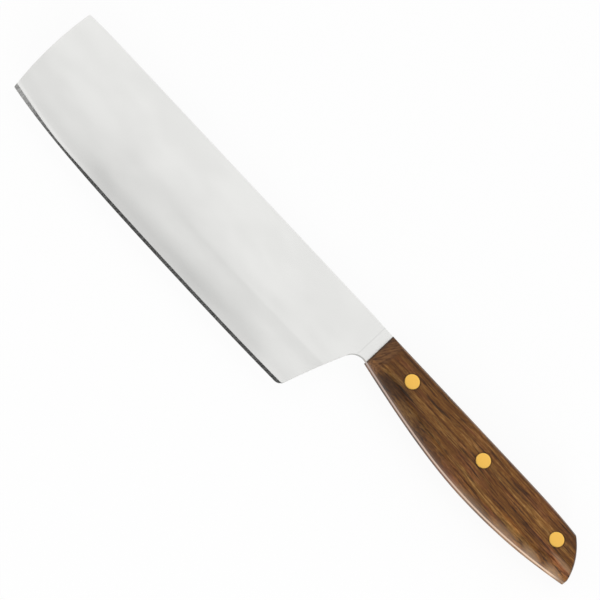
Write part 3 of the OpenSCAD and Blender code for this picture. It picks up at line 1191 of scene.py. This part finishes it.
    def half_thickness(self, xy: Array, away: Array) -> Array:
        """Works out half the steel's thickness with its bevel, its unground neck and its softened edges.

        The bevel runs straight from the ground face to the narrow land of the edge. Next to the spine, the
        ends and the notch the face falls away as a quarter circle.

        Args:
            xy: (..., 2) places.
            away: Distance of each from those outer edges.

        Returns:
            The half thickness at each place.
        """
        x, y = xy[..., 0], xy[..., 1]
        edge, bevel = self.edge_y(x), self.bevel_at(x)
        share = np.clip((y - edge) / bevel, 0.0, 1.0)
        top = self.ground_half(x, np.maximum(y, edge + bevel))
        ground = np.where(share < 1.0, mix(self.land, top, share), top)
        half = mix(self.grip.steel_half, ground, smooth((-self.ricasso - x) / self.run_out))
        radius = np.minimum(self.edge_break * smooth((self.plate_x - x) / self.break_run), 0.5 * half)
        inside = radius - np.minimum(away, radius)
        return half - radius + np.sqrt(np.maximum(radius ** 2 - inside ** 2, 0.0))

    def round_corner(self, xy: Array, corner: Array, first: Array, second: Array, radius: float) -> None:
        """Rounds a corner of a grid in place, by mapping the square of cells in it onto a quarter disc.

        Args:
            xy: (rows, columns, 2) places, which are changed.
            corner: The sharp corner.
            first: A point along one side that leaves it.
            second: A point along the other.
            radius: Radius of the rounding.
        """
        sides = np.stack([(p - corner) / np.linalg.norm(p - corner) for p in (first, second)])
        reach = radius / math.tan(math.acos(float(sides[0] @ sides[1])) / 2.0)
        share = 1.0 - (xy - corner) @ np.linalg.inv(sides * reach)
        inside = (share > 0.0).all(axis=-1) & (share < self.side_bulge).all(axis=-1)
        a, b = share[inside].clip(0.0, 1.0).T
        bent = np.stack([a * np.sqrt(1.0 - b * b / 2.0), b * np.sqrt(1.0 - a * a / 2.0)], axis=-1)
        xy[inside] = corner + (1.0 - bent) @ (sides * reach)

    def body_plan(self) -> Array:
        """Lays out the blade's grid.

        Its rows follow the spine, the grind line and the bevel, and its columns follow both ends. The two
        depend on each other, so a few rounds settle them.

        Returns:
            (rows, columns, 2) places.
        """
        shares = [crowd(np.linspace(0.0, 1.0, count + 1)[1:], power)
                  for count, power in zip(self.row_counts, self.row_powers)]
        span = np.concatenate([[0]] + [np.full(count, k) for k, count in enumerate(self.row_counts)])
        share = np.concatenate([[0.0], *shares])[:, None]
        row = np.arange(len(span))
        middle = np.linspace(0.0, 1.0, self.columns + 1)
        middle = mix(middle, smooth(middle), self.column_ease)[1:-1]
        rim = np.concatenate([[0.0], shares[0]]) * self.edge_break
        y = np.zeros((len(span), 1))
        for _ in range(self.settling):
            left, right = self.front_x(y[:, :1]), self.heel_line(y[:, -1:])
            inner = mix(left + self.edge_break, right - self.edge_break, middle)
            x = np.concatenate([left + rim, inner, right - rim[::-1]], axis=1)
            lines = self.row_lines(x)
            y = mix(lines[span, row], lines[span + 1, row], share)
        xy = np.stack([x, y], axis=-1)
        self.round_ends(xy)
        return xy

    def row_lines(self, x: Array) -> Array:
        """Gives the lines that rows follow: spine, its softened edge, taper, notch, grind line, bevel, edge.

        Args:
            x: (rows, columns) places along the knife.

        Returns:
            (lines, rows, columns) places across it.
        """
        edge, spine = self.edge_y(x), self.spine_y(x)
        high, low = edge + self.grind_h + self.grind_band, edge + self.bevel_at(x)
        start_x, start_y = self.notch(self.notch_from)
        high_there = float(self.edge_y(start_x)) + self.grind_h + self.grind_band
        share = (start_y + self.taper_y) / (high_there + self.taper_y)
        taper = np.full_like(x, -self.taper_y)
        over, under = self.bevel_band
        return np.stack([spine, spine - self.edge_break, taper, mix(taper, high, share), high,
                         high - 2.0 * self.grind_band, low + over, low - under, edge])

    def round_ends(self, xy: Array) -> None:
        """Rounds the two front corners and the heel corner of the grid.

        Args:
            xy: (rows, columns, 2) places, which are changed.
        """
        low_x = self.front_lean - self.length
        low, heel = float(self.edge_y(low_x)), float(self.edge_y(-self.heel_x))
        for x, y, step_x, step_y, line_y, line_x, radius in (
                (-self.length, -self.front_drop, 1.0, -1.0, self.spine_y, self.front_x, self.front_r),
                (low_x, low, 1.0, 1.0, self.edge_y, self.front_x, self.front_r),
                (-self.heel_x, heel, -2.0, 2.0, self.edge_y, self.heel_line, self.heel_r)):
            first = np.array([x + step_x, float(line_y(x + step_x))])
            second = np.array([float(line_x(np.array(y + step_y))), y + step_y])
            self.round_corner(xy, np.array([x, y]), first, second, radius)

    def neck_plan(self, body: Array) -> Array:
        """Carries the body's upper rows on through the neck, squeezed between the spine and the notch.

        Args:
            body: The body's (rows, columns, 2) places.

        Returns:
            (rows, columns, 2) places whose first column is the body's last.
        """
        below = self.notch(np.linspace(self.notch_from, self.plate_from, self.neck_steps))
        left = body[:self.notch_row + 1, -1, 1]
        share = ((left - left[0]) / (left[-1] - left[0]))[:, None]
        x = np.broadcast_to(below[:, 0], (len(left), len(below)))
        return np.stack([x, mix(self.spine_y(x), below[:, 1], share)], axis=-1)

    def tang_outline(self, neck: Array) -> Array:
        """Gives the tang's closed outline.

        Args:
            neck: The neck's (rows, columns, 2) places.

        Returns:
            (n, 2) places from the neck's last column round the notch and the handle.
        """
        until = math.acos(self.notch_x / self.notch_r)
        arc = self.notch(np.linspace(self.plate_from, until, self.arc_steps)[1:-1])
        return np.concatenate([neck[:, -1], arc, self.grip.ring(0.0)[::-1, :2]])

    def solid(self, xy: Array, lines: list[Array], near: Array) -> Array:
        """Raises a plan to the steel's left surface.

        Args:
            xy: (rows, columns, 2) places.
            lines: The outer edges that are softened.
            near: Mask of the places that may lie close to them.

        Returns:
            (rows, columns, 3) places.
        """
        away = np.full(xy.shape[:2], np.inf)
        away[near] = np.min([segment_distance(xy[near], line) for line in lines], axis=0)
        return at_height(xy, self.half_thickness(xy, away))

    def surfaces(self) -> tuple[Array, Array]:
        """Works out the steel's left surface.

        Returns:
            (rows, columns, 3) places of the body and of the neck.
        """
        body = self.body_plan()
        neck = self.neck_plan(body)
        heel = body[:, -1]
        outer = [np.concatenate([body[::-1, 0], body[0, 1:], neck[0, 1:]]),
                 heel[heel[:, 1] < self.notch_y - self.heel_break_end]]
        near = np.zeros(body.shape[:2], bool)
        near[:self.rim_rows] = True
        near[:, :self.front_columns] = True
        near[:, -self.heel_columns:] = True
        return self.solid(body, outer, near), self.solid(neck, outer, np.ones(neck.shape[:2], bool))

    def build(self, finishes: list[Material]) -> None:
        """Makes the whole piece of steel, in place of its CAD node.

        Args:
            finishes: Those of the faces, of the bevel, and of the narrow sides of neck and tang.
        """
        body, neck = self.surfaces()
        finish = (np.arange(len(body) - 1) >= len(body) - 1 - self.row_counts[-1])[:, None].astype(int)
        radius, half = self.hole_d / 2.0, self.grip.steel_half
        outline = self.tang_outline(neck[..., :2])
        holes = [circle(rivet.centre, radius) for rivet in self.rivets]
        flip = np.array([1.0, 1.0, -1.0])
        shell = Shell()
        for side in Side:
            shell.grid(body * [1.0, 1.0, side.value], finish)
            shell.grid(neck * [1.0, 1.0, side.value])
            shell.plate(outline, holes, side.value * half)
        tang = at_height(np.concatenate([outline[len(neck) - 1:], outline[:1]]), half)
        for rim, number in ((body[0], 0), (body[:, 0], 0), (body[self.notch_row:, -1], 0), (neck[0], 0),
                            (body[-1], 1), (neck[-1], 2), (tang, 2)):
            shell.grid(np.stack([rim, rim * flip]), number)
        for rivet in self.rivets:
            shell.revolve(np.array([[radius, half], [radius, -half]]), rivet.centre)
        made = shell.build("ground_steel_blade", finishes)
        self.painted_reflection(made.data)
        deliver(made, "blade")

    def painted_reflection(self, mesh: bpy.types.Mesh) -> None:
        """Stores the painted reflection levels at each point, for the ground finish to read.

        Args:
            mesh: The blade's mesh, in its place.
        """
        places = np.empty(len(mesh.vertices) * 3)
        mesh.vertices.foreach_get("co", places)
        x, y, _ = (places.reshape(-1, 3) / MM - KNIFE_ORIGIN).T
        level = PaintedReflection().level(x, y - self.edge_y(x), self.bevel_at(x))
        stored = mesh.attributes.new(GroundSteel.painted_reflection, "FLOAT_VECTOR", "POINT")
        stored.data.foreach_set("vector", np.repeat(level, 3).astype(np.float32))


def deliver(piece: Object, node: str) -> None:
    """Tells the frame about a finished piece.

    Args:
        piece: The piece, which moves with the whole knife.
        node: The CAD node that it stands for.
    """
    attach(piece, "root")
    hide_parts(node)


# The studio

@dataclass
class Studio:
    """A white floor under soft light, a dark patch overhead for the camera and its stand, and the camera."""

    floor_half: float = 3.0
    floor_colour: str = "#F7F7F7"
    floor_glow: float = 0.92
    white: str = "#FFFFFF"
    lamp_place: Triple = (1.0, -0.84, 0.2)
    lamp_size: Pair = (0.9, 0.25)
    lamp_watts: float = 12.0
    target: Triple = (-0.0064, 0.00648, 0.008)
    distance: float = 6.0
    view_width: float = 0.24136
    sensor: float = 36.0
    sight: float = 20.0
    tilt_deg: float = 19.6
    along: float = 0.68416642
    across: float = 0.72932592
    bright: float = 1.06
    dark: float = 0.06
    patch_centre: float = -9.0
    patch_half: Pair = (19.0, 45.0)
    patch_soft: float = 0.12

    def camera(self) -> None:
        """Looks down the tilted axis with the knife's length running from upper left to lower right."""
        tilt = math.radians(self.tilt_deg)
        forth = Vector((1.0, 0.0, 0.0))
        up_slope = Vector((0.0, math.cos(tilt), math.sin(tilt)))
        back = Vector((0.0, -math.sin(tilt), math.cos(tilt)))
        right = forth * self.along + up_slope * self.across
        up = up_slope * self.along - forth * self.across
        data = bpy.data.cameras.new("camera")
        data.sensor_width = self.sensor
        data.lens = self.sensor * self.distance / self.view_width
        data.clip_end = self.sight
        made = show("camera", data)
        turn = Matrix((right, up, back)).transposed().to_4x4()
        made.matrix_world = Matrix.Translation(Vector(self.target) + back * self.distance) @ turn
        bpy.context.scene.camera = made

    def floor(self) -> None:
        """Lays a pale floor that shows as white to the camera and in reflections and takes the shadow."""
        half = self.floor_half
        corners = [(-half, -half, 0.0), (half, -half, 0.0), (half, half, 0.0), (-half, half, 0.0)]
        mesh = bpy.data.meshes.new("floor")
        mesh.from_pydata(corners, [], [(0, 1, 2, 3)])
        recipe = Recipe(bpy.data.materials.new("matt_white_floor"))
        rays = tuple(recipe.add("LightPath", out=ray) for ray in ("Is Camera Ray", "Is Glossy Ray"))
        seen = recipe.add("Math", rays, operation="MAXIMUM")
        share = recipe.add("Math", (seen, self.floor_glow), operation="MULTIPLY")
        surface = recipe.add("BsdfDiffuse", {"Color": linear(self.floor_colour)})
        light = recipe.add("Emission", {"Color": linear(self.white), "Strength": 1.0})
        recipe.add("OutputMaterial", {"Surface": recipe.add("MixShader", (share, surface, light))})
        mesh.materials.append(recipe.owner)
        made = show("floor", mesh)

    def lamp(self) -> None:
        """Hangs a soft box low in front and to the right, which lights the lower rear side of the handle.

        It gives light but isn't mirrored, so that no view from low behind shows it as a glare on the handle.
        """
        data = bpy.data.lights.new("front_softbox", "AREA")
        data.shape = "RECTANGLE"
        data.size, data.size_y = self.lamp_size
        data.energy = self.lamp_watts
        made = show("front_softbox", data)
        made.location = self.lamp_place
        made.visible_glossy = False
        made.rotation_euler = Vector(self.lamp_place).to_track_quat("Z", "X").to_euler()

    def sky(self) -> None:
        """Lights the scene from all round, less a dark patch above the blade, which the bevel mirrors.

        The patch is an oval in the two angles away from straight up, with a soft edge.
        """
        world = bpy.data.worlds.new("studio")
        bpy.context.scene.world = world
        recipe = Recipe(world)
        parts = recipe.add("SeparateXYZ", (recipe.add("TexCoord", out="Generated"),)).node.outputs
        squares = []
        for axis, centre, half in ((1, self.patch_centre, self.patch_half[0]), (0, 0.0, self.patch_half[1])):
            angle = recipe.add("Math", (parts[axis], parts[2]), operation="ARCTAN2")
            moved = recipe.add("Math", (angle, -math.radians(centre)), operation="ADD")
            scaled = recipe.add("Math", (moved, 1.0 / math.radians(half)), operation="MULTIPLY")
            squares.append(recipe.add("Math", (scaled, 2.0), operation="POWER"))
        far = recipe.add("Math", (recipe.add("Math", squares, operation="ADD"),), operation="SQRT")
        edge = (1.0 - self.patch_soft, 1.0 + self.patch_soft)
        level = recipe.add("MapRange", (far, *edge, self.dark, self.bright), **EASED)
        seen = recipe.add("LightPath", out="Is Camera Ray")
        strength = recipe.add("Mix", {0: seen, 2: level, 3: 1.0}, data_type="FLOAT")
        light = recipe.add("Background", {"Color": linear(self.white), "Strength": strength})
        recipe.add("OutputWorld", {"Surface": light})

    def build(self) -> None:
        """Sets up light, floor, camera and plain colour handling."""
        self.sky()
        self.lamp()
        self.floor()
        self.camera()
        bpy.context.scene.view_settings.view_transform = "Standard"


def main() -> None:
    """Builds the studio and the knife."""
    logging.basicConfig(level=logging.INFO, format="%(message)s")
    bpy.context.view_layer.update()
    Studio().build()
    grip = Grip()
    rivets = [Rivet(name, *axis) for name, axis in RIVETS.items()]
    wood, brass = OiledWalnut().material(), TurnedBrass().material()
    steels = [steel.material() for steel in (GroundSteel(), SharpenedSteel(), LinishedSteel())]
    Blade(grip, rivets).build(steels)
    for side in Side:
        Scale(side, grip, rivets).build(wood)
    for rivet in rivets:
        rivet.build(brass)


if __name__ == "__main__":
    main()
